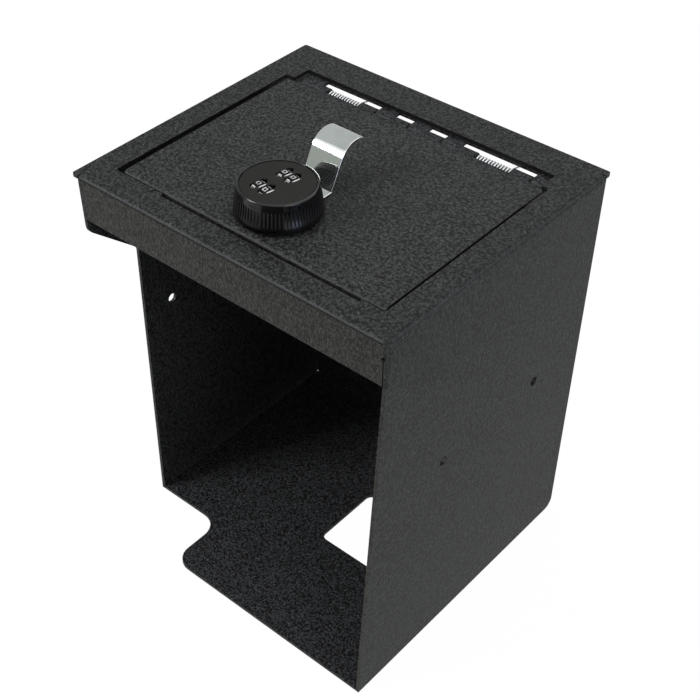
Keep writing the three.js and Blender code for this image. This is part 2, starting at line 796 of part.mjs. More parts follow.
// Knob: tapered and ribbed, with a pocket for each number wheel
function knobBody() {
  const seatZ = faceZ - seatGap;
  const shoulderZ = knobTopZ - knobShoulderDrop;
  const taper = (knobBaseRadius - knobShoulderRadius) / (shoulderZ - knobBottomZ);
  const coneRadius = (z) => knobBaseRadius - taper * (z - knobBottomZ);
  const cone = (z) => [coneRadius(z), z];
  const shoulder = new THREE.QuadraticBezierCurve(
    new THREE.Vector2(knobShoulderRadius, shoulderZ),
    new THREE.Vector2(coneRadius(knobTopZ), knobTopZ - knobEdge),
    new THREE.Vector2(knobTopRadius, knobTopZ - knobEdge / 2),
  ).getPoints(3).map(({ x, y }) => [x, y]);
  const ribFootZ = knobBottomZ + ribFoot;
  const ribHeadZ = knobTopZ - ribHeadDrop;
  const grooved = [ribFootZ + ribDepth, ribHeadZ - ribDepth];
  const profile = [
    [0, knobBottomZ],
    [knobBaseRadius - knobEdge, knobBottomZ],
    cone(knobBottomZ + knobEdge),
    cone(ribFootZ),
    ...grooved.map(cone),
    cone(ribHeadZ),
    ...shoulder,
    [knobTopRadius - knobEdge / 2, knobTopZ],
    [0, knobTopZ],
  ];
  const points = profile.map(([radius, z]) => new THREE.Vector2(radius, z));
  const lathe = new THREE.LatheGeometry(points, 2 * ribCount);
  const position = lathe.attributes.position;
  for (let i = 0; i < position.count; i += 1) {
    const segment = Math.floor(i / points.length) % 2;
    const [radius, z] = profile[i % points.length];
    if (segment === 1 && grooved.includes(z)) {
      position.setX(i, position.getX(i) * (1 - ribDepth / radius));
      position.setZ(i, position.getZ(i) * (1 - ribDepth / radius));
    }
  }
  const faceSeat = post(faceRadius + fitClearance, seatZ, knobTopZ + knobEdge, faceSides);
  const flangeRecess = post(flangeRadius + 2 * fitClearance, knobBottomZ - knobEdge, recessZ, faceSides);
  let body = solid(lathe.rotateX(Math.PI / 2)).subtract(faceSeat).subtract(flangeRecess);
  const room = wheelRadius + pocketClearance;
  for (const y of [-wheelPitchY / 2, wheelPitchY / 2]) {
    for (const x of wheelPlaces) {
      const x0 = x - wheelWidth / 2 - pocketClearance;
      const x1 = x + wheelWidth / 2 + pocketClearance;
      body = body.subtract(barX(room, x0, x1, y, wheelZ, 32));
      body = body.subtract(box(x0, x1, y - room, y + room, wheelZ, knobTopZ));
    }
    const reach = axleReach() + fitClearance;
    const bore = barX(axleRadius + fitClearance / 2, wheelShift - reach, wheelShift + reach, y, wheelZ, 16);
    body = body.subtract(bore);
  }
  const neckEnd = recessZ + spindleNeckLength + fitClearance;
  const neckBore = post(spindleNeck + fitClearance, knobBottomZ, neckEnd, 16);
  const pinholeZ = knobTopZ - pinholeDrop;
  const pinhole = barX(pinholeRadius, knobTopRadius - pinholeDepth, knobBaseRadius, 0, pinholeZ, 12)
    .rotate([0, 0, pinholeAngle]);
  return part('knob_body', geometryOf(body.subtract(neckBore).subtract(pinhole)), glossBlack);
}

/** Half length of a wheel axle: both wheels, their pockets and a seat in the knob. */
function axleReach() {
  return wheelPitchX / 2 + wheelWidth / 2 + pocketClearance + axleSeat;
}

// Matt face of the knob with a window over each wheel
function knobFace() {
  const circle = new THREE.EllipseCurve(0, 0, faceRadius, faceRadius, 0, turn);
  const rim = circle.getPoints(faceSides).slice(0, -1);
  const holes = [];
  for (const x of wheelPlaces) {
    for (const y of [-wheelPitchY / 2, wheelPitchY / 2]) {
      const [w, l] = [windowWidth / 2, windowLength / 2];
      holes.push(roundedOutline([
        [x - w, y - l, w / 4],
        [x - w, y + l, w / 4],
        [x + w, y + l, w / 4],
        [x + w, y - l, w / 4],
      ], 2));
    }
  }
  return part('knob_face', geometryOf(prismZ(rim, faceZ, faceZ + facePlate, holes)), mattBlack);
}

// Number wheel: ten flats with a groove between neighbours
function numberWheel(name, x, y) {
  const flats = 10;
  const groove = radians(4);
  const outline = [];
  for (let i = 0; i < flats; i += 1) {
    const centre = (turn * (i + 0.5)) / flats;
    const half = turn / flats / 2;
    const marks = [[-half + groove, wheelRadius], [half - groove, wheelRadius], [half, wheelRadius * 0.93]];
    for (const [offset, radius] of marks) {
      const angle = centre + offset;
      outline.push(new THREE.Vector2(radius * Math.cos(angle), radius * Math.sin(angle)));
    }
  }
  const drum = prismX(outline, x - wheelWidth / 2, x + wheelWidth / 2).translate([0, y, wheelZ]);
  const bore = barX(wheelBore, x - wheelWidth, x + wheelWidth, y, wheelZ, 16);
  return part(name, geometryOf(drum.subtract(bore)), wheelBlack);
}

function wheelAxle(name, y) {
  const axle = barX(axleRadius, wheelShift - axleReach(), wheelShift + axleReach(), y, wheelZ, 16);
  return part(name, geometryOf(axle), steel);
}

// Spindle: neck in the knob, shank in the housing, square end for the cam
function lockSpindle() {
  const squareEnd = camBottomZ - fitClearance / 2;
  const half = spindleSquare / 2;
  const body = post(spindleRadius, camTopZ, recessZ - fitClearance, 32)
    .add(post(spindleNeck, recessZ - overcut, recessZ + spindleNeckLength, 16))
    .add(box(-half, half, -half, half, squareEnd, camTopZ + overcut));
  const boreEnd = squareEnd + screwLength + fitClearance;
  const bore = post(screwRadius + fitClearance, squareEnd - overcut, boreEnd, 16);
  return part('lock_spindle', geometryOf(body.subtract(bore)), steel);
}

// Cam: flat latch plate with a square hole and a round end
function camLatch() {
  const half = camWidth / 2;
  const outline = roundedOutline([
    [-half, -half, half],
    [camLength, -half, half / 2],
    [camLength, half, half / 2],
    [-half, half, half],
  ], 8);
  const side = spindleSquare / 2 + fitClearance;
  const hole = box(-side, side, -side, side, camBottomZ - overcut, camTopZ + overcut);
  return part('cam_latch', geometryOf(prismZ(outline, camBottomZ, camTopZ).subtract(hole)), steel);
}

function camWasher() {
  const z1 = camBottomZ - fitClearance;
  const z0 = z1 - washerThickness;
  const hole = post(screwRadius + fitClearance, z0 - overcut, z1 + overcut, 16);
  return part('cam_washer', geometryOf(post(camWasherRadius, z0, z1, 32).subtract(hole)), steel);
}

function camScrew() {
  const z1 = camBottomZ - 2 * fitClearance - washerThickness;
  const head = post(screwHeadRadius, z1 - screwHeadHeight, z1, 6);
  const shank = post(screwRadius, z1 - screwHeadHeight / 2, camBottomZ + screwLength, 16);
  return part('cam_screw', geometryOf(head.add(shank)), steel);
}

// Assembly
const safe = new THREE.Group();
safe.add(topShell(), leftWall(), floorPanel(), rearPanel(), hingeLeaf(), hingeRod());
safe.add(lidRest('lid_rest_left', openLeftX - restLap, lidLeftX + restOverlap));
safe.add(lidRest('lid_rest_right', lidRightX - restOverlap, openRightX + restLap));
safe.add(latchStriker());

safe.add(lidPanel(), lidHingeLeaf(), pullTab());
safe.add(torsionSpring('torsion_spring_left', springCoils[0].x0));
safe.add(torsionSpring('torsion_spring_right', springCoils[1].x0));
console.log(`torsion spring: least gap to itself ${leastGap(springPath(), springWire).toFixed(2)} mm`);

const fixedLock = new THREE.Group();
fixedLock.position.set(lockX, lockY, 0);
fixedLock.add(lockHousing(), lockWasher(), lockNut());
safe.add(fixedLock);

const turningLock = new THREE.Group();
turningLock.position.set(lockX, lockY, 0);
turningLock.rotation.z = radians(knobTurnAtRest);
turningLock.add(knobBody(), knobFace(), lockSpindle(), camLatch(), camWasher(), camScrew());
[-1, 1].forEach((row) => {
  turningLock.add(wheelAxle(row < 0 ? 'wheel_axle_front' : 'wheel_axle_rear', (row * wheelPitchY) / 2));
  wheelPlaces.forEach((x, column) => {
    const name = `number_wheel_${row + 2 + column}`;
    turningLock.add(numberWheel(name, x, (row * wheelPitchY) / 2));
  });
});
safe.add(turningLock);

export default safe;
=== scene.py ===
import logging
import math
from dataclasses import dataclass, field
from enum import Enum

import bmesh
import bpy
from mathutils import Matrix, Vector


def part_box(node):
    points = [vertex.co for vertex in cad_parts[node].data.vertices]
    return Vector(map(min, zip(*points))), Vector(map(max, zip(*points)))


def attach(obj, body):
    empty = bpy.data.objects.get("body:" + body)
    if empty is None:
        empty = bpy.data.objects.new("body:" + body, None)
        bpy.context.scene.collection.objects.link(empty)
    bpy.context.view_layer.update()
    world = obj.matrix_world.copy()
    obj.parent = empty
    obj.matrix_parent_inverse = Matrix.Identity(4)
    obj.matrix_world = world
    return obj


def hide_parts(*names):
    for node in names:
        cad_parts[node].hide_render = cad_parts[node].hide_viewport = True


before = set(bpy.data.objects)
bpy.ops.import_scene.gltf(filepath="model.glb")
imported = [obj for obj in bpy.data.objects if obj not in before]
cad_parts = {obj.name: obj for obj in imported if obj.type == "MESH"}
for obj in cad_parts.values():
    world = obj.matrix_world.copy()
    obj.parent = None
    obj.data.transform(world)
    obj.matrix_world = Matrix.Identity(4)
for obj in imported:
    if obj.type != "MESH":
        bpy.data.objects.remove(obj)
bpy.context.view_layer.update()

# Looks of a sheet-steel console safe: powder-coated case and lid, rod hinge with two torsion
# springs, chrome finger pull and a four-wheel combination knob. Metres, in the CAD frame.

logging.basicConfig(level=logging.INFO, format="%(message)s")
log = logging.getLogger("console_safe")

Colour = tuple[float, float, float, float]
Triple = tuple[float, float, float]
Material = bpy.types.Material
Piece = bpy.types.Object
Draft = bmesh.types.BMesh

MM = 0.001
TURN = 2 * math.pi
QUARTER = TURN / 4
WHITE: Colour = (1, 1, 1, 1)
# Strokes of the digits 0 to 9: A top, B upper right, C lower right, D bottom, E lower left,
# F upper left, G middle.
DIGIT_STROKES = ("FEBCAD", "FE", "ABGED", "BCAGD", "FBCG", "AFGCD", "FECAGD", "ABC", "FEBCAGD", "FBCAGD")


# Node sheets

class Wire:
    """One output socket of a node sheet, with arithmetic that adds Math nodes."""

    def __init__(self, sheet: "NodeSheet", socket: bpy.types.NodeSocket | None) -> None:
        """Keeps the sheet and the socket; there is none behind an output node."""
        self.sheet = sheet
        self.socket = socket

    def worked(self, operation: str, first: "Wire | float", second: "Wire | float") -> "Wire":
        """Result of a Math node with two values."""
        return self.sheet.add("ShaderNodeMath", {"operation": operation}, {0: first, 1: second})

    def __add__(self, other: "Wire | float") -> "Wire":
        """Sum of two values."""
        return self.worked("ADD", self, other)

    def __radd__(self, other: float) -> "Wire":
        """Sum with the plain number first."""
        return self.worked("ADD", other, self)

    def __sub__(self, other: "Wire | float") -> "Wire":
        """Difference of two values."""
        return self.worked("SUBTRACT", self, other)

    def __rsub__(self, other: float) -> "Wire":
        """Difference with the plain number first."""
        return self.worked("SUBTRACT", other, self)

    def __mul__(self, other: "Wire | float") -> "Wire":
        """Product of two values."""
        return self.worked("MULTIPLY", self, other)

    def __rmul__(self, other: float) -> "Wire":
        """Product with the plain number first."""
        return self.worked("MULTIPLY", other, self)

    def most(self, other: "Wire | float") -> "Wire":
        """Larger of two values."""
        return self.worked("MAXIMUM", self, other)

    def above(self, low: float, high: float) -> "Wire":
        """Soft step from 0 at low to 1 at high."""
        settings = {"interpolation_type": "SMOOTHSTEP"}
        return self.sheet.add("ShaderNodeMapRange", settings, {0: self, 1: low, 2: high})


class NodeSheet:
    """Node tree that is filled node by node."""

    def __init__(self, tree: bpy.types.NodeTree) -> None:
        """Starts with the tree empty."""
        self.tree = tree
        tree.nodes.clear()

    def add(self, kind: str, settings: dict[str, object], values: dict[int | str, object],
            output: int | str = 0) -> Wire:
        """Adds one node: its settings first, then the values or links of its sockets.

        Args:
            kind: the node's type name.
            settings: attributes of the node.
            values: socket values or wires by socket index or name.
            output: which output is handed back.

        Returns:
            The chosen output.
        """
        node = self.tree.nodes.new(kind)
        for key, value in settings.items():
            setattr(node, key, value)
        for key, value in values.items():
            if isinstance(value, Wire):
                self.tree.links.new(value.socket, node.inputs[key])
            else:
                node.inputs[key].default_value = value
        return Wire(self, node.outputs[output] if len(node.outputs) else None)


class ShaderSheet(NodeSheet):
    """Node sheet of a material or world, filled from its coordinates to its shader."""

    def __init__(self, owner: Material | bpy.types.World) -> None:
        """Empties the sheet of its owner.

        Args:
            owner: the material or world.
        """
        self.owner = owner
        owner.use_nodes = True
        super().__init__(owner.node_tree)

    def place(self, stretch: Triple = (1, 1, 1), turned: Triple = (0, 0, 0)) -> Wire:
        """Object coordinates, scaled and turned in radians for a pattern."""
        coordinates = self.add("ShaderNodeTexCoord", {}, {}, "Object")
        return self.add("ShaderNodeMapping", {}, {0: coordinates, "Rotation": turned, "Scale": stretch})

    def noise(self, place: Wire, scale: float, detail: float = 3, rough: float = 0.5,
              bent: float = 0) -> Wire:
        """Noise from 0 to 1 at a place, with the given cells per metre, finer layers and bend."""
        values = {"Vector": place, "Scale": scale, "Detail": detail, "Roughness": rough, "Distortion": bent}
        return self.add("ShaderNodeTexNoise", {}, values)

    def cells(self, place: Wire, scale: float) -> Wire:
        """Distance to the nearest point of a cell pattern."""
        return self.add("ShaderNodeTexVoronoi", {}, {"Vector": place, "Scale": scale})

    def mixed(self, factor: Wire, first: Colour | Wire, second: Colour | Wire) -> Wire:
        """Blend of two colours, where the factor is the share of the second."""
        settings = {"data_type": "RGBA", "clamp_factor": True}
        return self.add("ShaderNodeMix", settings, {0: factor, 6: first, 7: second}, 2)

    def bump(self, height: Wire, depth: float, strength: float = 1) -> Wire:
        """Normal of a height pattern, whose unit is depth metres high."""
        return self.add("ShaderNodeBump", {}, {"Height": height, "Distance": depth, "Strength": strength})

    def seen(self) -> Wire:
        """Mask of camera, glossy and transmission rays."""
        camera, glossy, through = (self.add("ShaderNodeLightPath", {}, {}, ray) for ray in (
            "Is Camera Ray", "Is Glossy Ray", "Is Transmission Ray"))
        return camera.most(glossy).most(through)

    def finished(self, values: dict[int | str, object]) -> Material:
        """Closes a material's sheet with a Principled shader of the given values and wires."""
        self.add("ShaderNodeOutputMaterial", {}, {0: self.add("ShaderNodeBsdfPrincipled", {}, values)})
        return self.owner


def srgb(*levels: float) -> Colour:
    """Linear colour of the red, green and blue levels of an 8-bit display, with full alpha."""
    red, green, blue = (((level / 255 + 0.055) / 1.055) ** 2.4 if level / 255 > 0.04045
                        else level / 255 / 12.92 for level in levels)
    return (red, green, blue, 1.0)


# Finishes

@dataclass(frozen=True)
class CoatTone:
    """Colours and grain of a powder coat on one kind of surface; grains count per metre. Its dark crease
    colour is painted shade, and its brightness is set for the light that kind of surface gets.
    """

    dark: Colour
    light: Colour
    fleck: Colour
    grains: float
    depth: float
    crease_level: float
    stretch: Triple = (1, 1, 1)
    turned: Triple = (0, 0, 0)


@dataclass(frozen=True)
class PowderCoat:
    """Wrinkled black powder coat: leathery on level sheet, finer on upright sheet; its creases carry
    painted shade, its bends a painted highlight, and each facing a tone that paints the light on that side.
    """

    name: str
    level: CoatTone
    front: CoatTone
    side: CoatTone
    bend: Colour
    roughness: float = 0.55
    specular: float = 0.2
    facing: tuple[float, float] = (0.45, 0.8)
    bend_from: tuple[float, float] = (0.12, 0.27)
    highlight_share: tuple[float, float] = (0.2, 0.5)
    patch_grains: float = 9
    patch_share: float = 0.25
    crease_shade_share: float = 0.9
    crease_grains: float = 0.9
    crease_fade: float = 0.3
    height_shares: tuple[float, float] = (1.2, 0.35)
    fleck_grains: float = 1.7
    fleck_from: tuple[float, float] = (0.58, 0.7)
    fleck_share: float = 0.6

    def material(self) -> Material:
        """Builds the coat.

        Returns:
            The material.
        """
        sheet = ShaderSheet(bpy.data.materials.new(self.name))
        patches = sheet.noise(sheet.place(), self.patch_grains, rough=0.6)
        normal = sheet.add("ShaderNodeTexCoord", {}, {}, "Normal")
        sides = sheet.add("ShaderNodeVectorMath", {"operation": "ABSOLUTE"}, {0: normal})
        across, along, up = (sheet.add("ShaderNodeSeparateXYZ", {}, {0: sides}, axis) for axis in range(3))
        # Painted highlight: faces with slanted normals, on bends and soft edges, are mixed towards the
        # lighter bend colour, more where the broad noise is high.
        on_bend = (1 - across.most(along).most(up)).above(*self.bend_from)
        colour, height, hide = self._grain(sheet, self.front, patches)
        # Painted light: the side and level tones differ in brightness from the front tone to paint the
        # light each facing gets; their grain and stretch are the coat's own.
        for way, tone in ((across, self.side), (up, self.level)):
            share = way.above(*self.facing)
            over_colour, over_height, over_hide = self._grain(sheet, tone, patches)
            colour = sheet.mixed(share, colour, over_colour)
            height = height + share * (over_height - height)
            hide = hide + share * (over_hide - hide)
        least, more = self.highlight_share
        return sheet.finished({
            "Base Color": sheet.mixed(on_bend * (least + more * hide), colour, self.bend),
            "Roughness": self.roughness + 0.2 * (hide - 0.5) + 0.08 * (patches - 0.5) - 0.12 * on_bend,
            "IOR": 1.5,
            "Specular IOR Level": self.specular,
            "Normal": sheet.bump(height, self.level.depth),
        })

    def _grain(self, sheet: ShaderSheet, tone: CoatTone, patches: Wire) -> tuple[Wire, Wire, Wire]:
        """Grain of one tone.

        Args:
            sheet: the node sheet.
            tone: the tone.
            patches: broad light and dark patches.

        Returns:
            Its colour, its height and its broad noise.
        """
        place = sheet.place(tone.stretch, tone.turned)
        hide = sheet.noise(place, tone.grains, detail=2, rough=0.62, bent=0.5)
        crease = sheet.cells(place, tone.grains * self.crease_grains)
        raised, sunk = self.height_shares
        height = hide * raised - crease * sunk
        # Painted shade: the creases of the wrinkles are mixed towards the dark colour and the raised grain
        # towards the light one; the broad patches add random tone.
        shade = height.above(tone.crease_level, tone.crease_level + self.crease_fade)
        shade_and_patches = shade * self.crease_shade_share + (patches - 0.5) * self.patch_share
        flecks = sheet.noise(place, tone.grains * self.fleck_grains, detail=1).above(*self.fleck_from)
        colour = sheet.mixed(flecks * shade * self.fleck_share,
                             sheet.mixed(shade_and_patches, tone.dark, tone.light), tone.fleck)
        return colour, height * (tone.depth / self.level.depth), hide


@dataclass(frozen=True)
class BrightPlate:
    """Polished plate with faint smears and hairlines."""

    name: str
    colour: Colour
    roughness: float
    hairline: float
    line_grains: Triple = (60, 2500, 2500)
    smear_grains: float = 70
    smear_share: float = 0.86

    def material(self) -> Material:
        """Builds the plate.

        Returns:
            The material.
        """
        sheet = ShaderSheet(bpy.data.materials.new(self.name))
        smear = sheet.noise(sheet.place(), self.smear_grains, rough=0.55)
        lines = sheet.noise(sheet.place(self.line_grains), 1, detail=2, rough=0.6)
        dull = tuple(self.smear_share * channel for channel in self.colour[:3]) + (1.0,)
        return sheet.finished({
            "Base Color": sheet.mixed(smear.above(0.45, 0.8), self.colour, dull),
            "Metallic": 1.0,
            "Roughness": self.roughness + self.hairline * lines + 0.05 * smear.above(0.5, 0.8),
            "Normal": sheet.bump(lines, 0.004 * MM, strength=0.2),
        })


@dataclass(frozen=True)
class DrawnSteel:
    """Drawn or turned steel with fine marks and a little tarnish."""

    name: str
    colour: Colour
    tarnish: Colour
    roughness: float
    marks: Triple
    stain_grains: float = 160

    def material(self) -> Material:
        """Builds the steel.

        Returns:
            The material.
        """
        sheet = ShaderSheet(bpy.data.materials.new(self.name))
        marks = sheet.noise(sheet.place(self.marks), 1, rough=0.6)
        stain = sheet.noise(sheet.place(), self.stain_grains, rough=0.6)
        return sheet.finished({
            "Base Color": sheet.mixed(stain.above(0.45, 0.75), self.colour, self.tarnish),
            "Metallic": 1.0,
            "Roughness": self.roughness + 0.2 * marks + 0.1 * stain,
            "Normal": sheet.bump(marks, 0.02 * MM, strength=0.5),
        })


@dataclass(frozen=True)
class MouldedPlastic:
    """Moulded plastic: a flow-marked colour, a fine surface grain and rubbed places."""

    name: str
    colour: Colour
    rubbed: Colour
    roughness: float
    grains: float
    depth: float
    specular: float = 0.5
    flow_grains: float = 120

    def material(self) -> Material:
        """Builds the plastic.

        Returns:
            The material.
        """
        sheet = ShaderSheet(bpy.data.materials.new(self.name))
        place = sheet.place()
        grain = sheet.noise(place, self.grains, rough=0.6)
        flow = sheet.noise(place, self.flow_grains, bent=0.8)
        return sheet.finished({
            "Base Color": sheet.mixed(flow.above(0.4, 0.75), self.colour, self.rubbed),
            "Roughness": self.roughness + 0.14 * flow + 0.08 * grain,
            "Specular IOR Level": self.specular,
            "Normal": sheet.bump(grain, self.depth),
        })


class Coats:
    """All finishes of the safe, each built once."""

    def __init__(self) -> None:
        """Builds every material: powder coats, metals and plastics."""
        # One powder coat split into tones whose brightness paints the light on each facing: the lid is a
        # lighter copy of the frame top, and the inside coat is a copy set for the light inside the case.
        frame_top = CoatTone(srgb(14, 14, 14), srgb(61, 62, 62), srgb(110, 114, 118), grains=680,
                             depth=0.7 * MM, crease_level=0.28, stretch=(1, 0.85, 1), turned=(0, 0, 0.5))
        lid_top = CoatTone(srgb(14, 14, 14), srgb(66, 67, 67), srgb(110, 114, 118), grains=660,
                           depth=0.7 * MM, crease_level=0.28, stretch=(0.85, 1, 1), turned=(0, 0, -0.4))
        skirt = CoatTone(srgb(22, 22, 21), srgb(60, 60, 57), srgb(104, 104, 99), grains=860,
                         depth=0.3 * MM, crease_level=0.26, stretch=(1, 0.55, 0.55), turned=(0.5, 0.6, 0))
        wall = CoatTone(srgb(10, 11, 11), srgb(57, 59, 58), srgb(112, 116, 117), grains=680,
                        depth=0.6 * MM, crease_level=0.29, stretch=(1, 1, 0.8))
        inner_floor = CoatTone(srgb(13, 13, 13), srgb(65, 66, 68), srgb(118, 122, 128), grains=720,
                               depth=0.6 * MM, crease_level=0.28)
        inner_rear = CoatTone(srgb(15, 15, 15), srgb(52, 53, 54), srgb(80, 82, 86), grains=700,
                              depth=0.6 * MM, crease_level=0.26, stretch=(1, 1, 0.7))
        inner_side = CoatTone(srgb(22, 22, 23), srgb(69, 70, 71), srgb(92, 94, 98), grains=700,
                              depth=0.6 * MM, crease_level=0.26, stretch=(1, 1, 0.7))
        # Painted shade: a dark tone for faces in the gaps, used for the lid's flange and side faces.
        gap_shade_tone = CoatTone(srgb(8, 8, 8), srgb(22, 22, 23), srgb(40, 41, 43), grains=600,
                          depth=0.4 * MM, crease_level=0.28)
        # Painted highlight colour for bends and soft edges; the inside and gap coats take their own below.
        bend = srgb(78, 80, 82)
        self.top = PowderCoat("coat_top", frame_top, skirt, wall, bend).material()
        self.lid = PowderCoat("coat_lid", lid_top, gap_shade_tone, gap_shade_tone, bend).material()
        self.inside = PowderCoat("coat_inside", inner_floor, inner_rear, inner_side,
                                 srgb(84, 86, 88)).material()
        # Painted shade: the gap coat darkens the opening's cut edges, the lid rests and the striker.
        self.gap_shade = PowderCoat("coat_gap_shade", gap_shade_tone, gap_shade_tone, gap_shade_tone, srgb(40, 41, 42)).material()
        self.chrome = BrightPlate("polished_plate", (0.82, 0.84, 0.84, 1), roughness=0.04,
                                  hairline=0.05).material()
        self.spring = DrawnSteel("spring_wire", (0.80, 0.81, 0.82, 1), (0.58, 0.59, 0.60, 1),
                                 roughness=0.2, marks=(4000, 300, 300)).material()
        self.rod = DrawnSteel("rod_steel", (0.09, 0.09, 0.09, 1), (0.05, 0.05, 0.05, 1),
                              roughness=0.4, marks=(300, 4000, 4000)).material()
        self.zinc = DrawnSteel("zinc_plate", (0.55, 0.56, 0.55, 1), (0.38, 0.38, 0.36, 1),
                               roughness=0.3, marks=(900, 900, 200)).material()
        self.knob = MouldedPlastic("knob_gloss", srgb(8, 8, 9), srgb(13, 13, 14), roughness=0.05,
                                   grains=2200, depth=0.004 * MM).material()
        self.ribs = MouldedPlastic("knob_ribs", srgb(37, 37, 39), srgb(49, 49, 52), roughness=0.22,
                                   grains=2600, depth=0.02 * MM, specular=0.25).material()
        self.face = MouldedPlastic("face_matt", srgb(34, 33, 31), srgb(40, 39, 36), roughness=0.55,
                                   grains=4200, depth=0.04 * MM, specular=0.18).material()
        self.wheel = MouldedPlastic("wheel_black", srgb(7, 7, 7), srgb(12, 12, 12), roughness=0.45,
                                    grains=3000, depth=0.02 * MM, specular=0.15).material()
        self.print_white = MouldedPlastic("print_white", srgb(235, 236, 236), srgb(210, 211, 210),
                                          roughness=0.5, grains=5000, depth=0.01 * MM).material()


class Slot(Enum):
    """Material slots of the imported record."""

    CASE = "case_coat"
    LID = "lid_coat"
    CHROME = "chrome"
    ZINC = "zinc"
    SPRING = "spring_steel"
    KNOB = "knob_black"
    FACE = "face_grey"
    WHEEL = "wheel_black"


class Edge(Enum):
    """Width of the soft edge on a piece, in metres."""

    CRISP = 0.00012
    SLIM = 0.00022
    COATED = 0.0006


# Meshes

def new_piece(name: str, draft: Draft, material: Material | None = None) -> Piece:
    """Turns a draft into an object at the origin and frees the draft.

    Args:
        name: the name of the object and its mesh.
        draft: the mesh draft, already in place.
        material: its finish, if it has one yet.

    Returns:
        The object.
    """
    mesh = bpy.data.meshes.new(name)
    draft.to_mesh(mesh)
    draft.free()
    if material is not None:
        mesh.materials.clear()
        mesh.materials.append(material)
    piece = bpy.data.objects.new(name, mesh)
    bpy.context.scene.collection.objects.link(piece)
    return piece


def add_box(draft: Draft, place: Matrix, size: Triple) -> None:
    """Adds a box to a draft, with its middle at a place."""
    bmesh.ops.create_cube(draft, size=1, matrix=place @ Matrix.Diagonal((*size, 1)))


def bake(piece: Piece) -> None:
    """Replaces a piece's mesh by its evaluated one and removes the modifiers.

    Args:
        piece: the piece.
    """
    graph = bpy.context.evaluated_depsgraph_get()
    graph.update()
    mesh = bpy.data.meshes.new_from_object(piece.evaluated_get(graph))
    piece.modifiers.clear()
    piece.data = mesh


def cut_away(piece: Piece, cutter: Piece) -> None:
    """Cuts a closed cutter out of a piece and removes the cutter.

    Args:
        piece: the piece.
        cutter: the cutter.
    """
    cut = piece.modifiers.new("cut", "BOOLEAN")
    cut.operation = "DIFFERENCE"
    cut.solver = "EXACT"
    cut.object = cutter
    bake(piece)
    bpy.data.objects.remove(cutter)


def smoothed(piece: Piece, angle: float) -> None:
    """Shades a piece smooth and keeps edges steeper than an angle in degrees sharp."""
    piece.data.shade_smooth()
    piece.data.set_sharp_from_angle(angle=math.radians(angle))


def settled(piece: Piece, body: str, slot: Slot, *nodes: str) -> Piece:
    """Lets a finished piece ride, hides the CAD nodes it stands for, and reports it.

    Args:
        piece: the finished piece.
        body: the body it rides on.
        slot: its material slot; not used.
        nodes: CAD nodes that it replaces.

    Returns:
        The same piece.
    """
    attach(piece, body)
    if nodes:
        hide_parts(*nodes)
    log.info("%s: %d faces on %s", piece.name, len(piece.data.polygons), body)
    return piece


@dataclass
class SoftCopy:
    """Copy of a CAD node with merged faces, smooth bends and softly rounded edges."""

    node: str
    body: str
    slot: Slot
    material: Material
    edge: Edge = Edge.COATED
    smooth_angle: float = 32
    cutter: Piece | None = None
    flat_faces: bool = False
    turned: Matrix | None = None
    merge_reach: float = 0.002 * MM
    flat_angle: float = math.radians(1)
    flat_weight: int = 80

    def build(self) -> Piece:
        """Makes the copy and dresses it.

        Returns:
            The piece.
        """
        draft = bmesh.new()
        draft.from_mesh(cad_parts[self.node].data)
        bmesh.ops.remove_doubles(draft, verts=draft.verts, dist=self.merge_reach)
        bmesh.ops.dissolve_limit(draft, angle_limit=self.flat_angle, verts=draft.verts, edges=draft.edges)
        piece = new_piece(f"{self.node}_coat", draft, self.material)
        if self.turned is not None:
            piece.data.transform(self.turned)
        if self.cutter is not None:
            cut_away(piece, self.cutter)
        smoothed(piece, self.smooth_angle)
        soft = piece.modifiers.new("soft_edge", "BEVEL")
        soft.width = self.edge.value
        soft.segments = 2
        soft.limit_method = "ANGLE"
        soft.angle_limit = math.radians(self.smooth_angle)
        soft.miter_outer = "MITER_ARC"
        soft.harden_normals = not self.flat_faces
        if self.flat_faces:
            level = piece.modifiers.new("flat_normals", "WEIGHTED_NORMAL")
            level.mode = "FACE_AREA"
            level.weight = self.flat_weight
            level.keep_sharp = True
        bake(piece)
        return settled(piece, self.body, self.slot, self.node)


def turned_piece(name: str, profile: list[tuple[float, float]], sides: int, material: Material) -> Piece:
    """Closed profile turned round the Z axis.

    Args:
        name: the piece's name.
        profile: radius and height of each point, in order round the section.
        sides: number of sides.
        material: its finish.

    Returns:
        The piece.
    """
    draft = bmesh.new()
    rings = []
    for radius, height in profile:
        angles = [TURN * i / sides for i in range(1 if radius == 0 else sides)]
        rings.append([
            draft.verts.new((radius * math.cos(angle), radius * math.sin(angle), height))
            for angle in angles
        ])
    for inner, outer in zip(rings, rings[1:] + rings[:1]):
        for i in range(sides):
            j = (i + 1) % sides
            corners = [inner[i % len(inner)], inner[j % len(inner)],
                       outer[j % len(outer)], outer[i % len(outer)]]
            unique = list(dict.fromkeys(corners))
            if len(unique) > 2:
                draft.faces.new(unique)
    bmesh.ops.recalc_face_normals(draft, faces=draft.faces)
    return new_piece(name, draft, material)


# Geometry node trees

